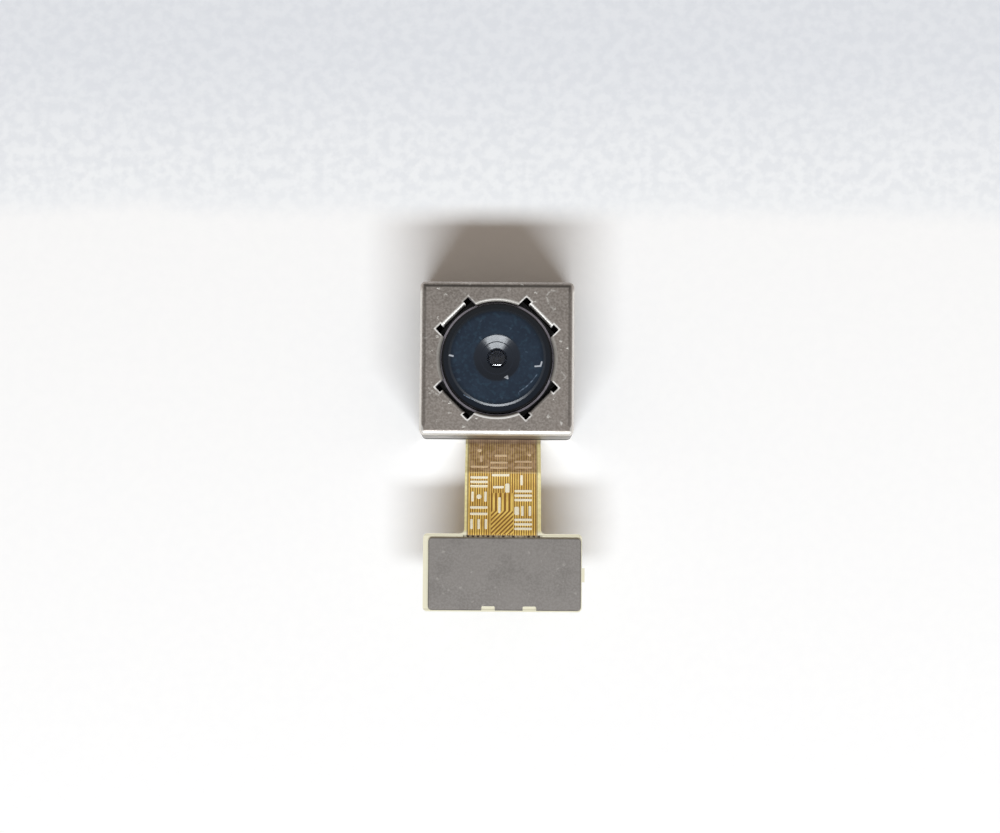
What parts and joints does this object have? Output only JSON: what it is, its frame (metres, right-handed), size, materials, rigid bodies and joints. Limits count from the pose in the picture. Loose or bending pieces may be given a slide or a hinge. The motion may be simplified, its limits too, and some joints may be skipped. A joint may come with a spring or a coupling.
{
  "type": "autofocus camera module",
  "caption": "Square autofocus camera module: a folded steel can round a moving lens barrel, on a bent flexible circuit with a stiffened board connector.",
  "frame": {"origin": "on the lens axis, at the back face of the head's back plate", "axes": "+Z out of the lens, +Y from the board connector towards the head, +X to the right as the lens is seen from the front"},
  "size_m": [0.0092, 0.0182, 0.0055],
  "materials": {
    "can_steel": "matte nickel-coated sheet steel",
    "plate_steel": "dull grey stainless sheet",
    "flex_film": "amber polyimide over copper",
    "black_moulding": "matt black moulding",
    "barrel_black": "satin blue-black moulding",
    "lens_clear": "clear coated optical plastic",
    "filter_glass": "coated blue-green glass",
    "sensor_silicon": "dark iridescent silicon",
    "spring_bronze": "bright rolled copper alloy",
    "magnet_nickel": "nickel-plated magnet",
    "coil_copper": "enamelled copper wire",
    "wire_gold": "bright gold",
    "contact_gold": "gold-plated copper alloy",
    "clip_tin": "tin-plated sheet",
    "solder_tin": "bright solder",
    "chip_black": "dark chip",
    "capacitor_ceramic": "tan ceramic",
    "connector_moulding": "black connector moulding"
  },
  "bodies": {
    "module": {"shield_can": "can_steel", "back_plate": "plate_steel", "connector_stiffener": "plate_steel", "flex_circuit": "flex_film", "image_sensor": "sensor_silicon", "bond_wires": "wire_gold", "chip_capacitors": "capacitor_ceramic", "focus_driver_chip": "chip_black", "sensor_holder": "black_moulding", "infrared_filter": "filter_glass", "motor_base": "black_moulding", "focus_terminal_left": "clip_tin", "focus_terminal_right": "clip_tin", "terminal_solder": "solder_tin", "lower_spring_left": "spring_bronze", "lower_spring_right": "spring_bronze", "upper_spring": "spring_bronze", "magnet_front_left": "magnet_nickel", "magnet_front_right": "magnet_nickel", "magnet_back_left": "magnet_nickel", "magnet_back_right": "magnet_nickel", "top_spacer": "black_moulding", "connector_housing": "connector_moulding", "connector_contacts": "contact_gold", "connector_hold_downs": "clip_tin"},
    "lens_group": {"lens_holder": "black_moulding", "focus_coil": "coil_copper", "lens_barrel": "barrel_black", "front_lens": "lens_clear", "second_lens": "lens_clear", "third_lens": "lens_clear", "rear_lens": "lens_clear", "front_baffle": "black_moulding", "rear_baffle": "black_moulding", "lens_spacer_ring": "black_moulding", "lens_retainer": "black_moulding"}
  },
  "joints": [
    {"name": "focus_travel", "type": "slide", "parent": "module", "child": "lens_group", "axis": [0, 0, 1], "range_m": [0, 0.00025], "stiffness_N_per_m": 40, "springref_m": -0.00005, "deforming": ["upper_spring", "lower_spring_left", "lower_spring_right"]}
  ]
}
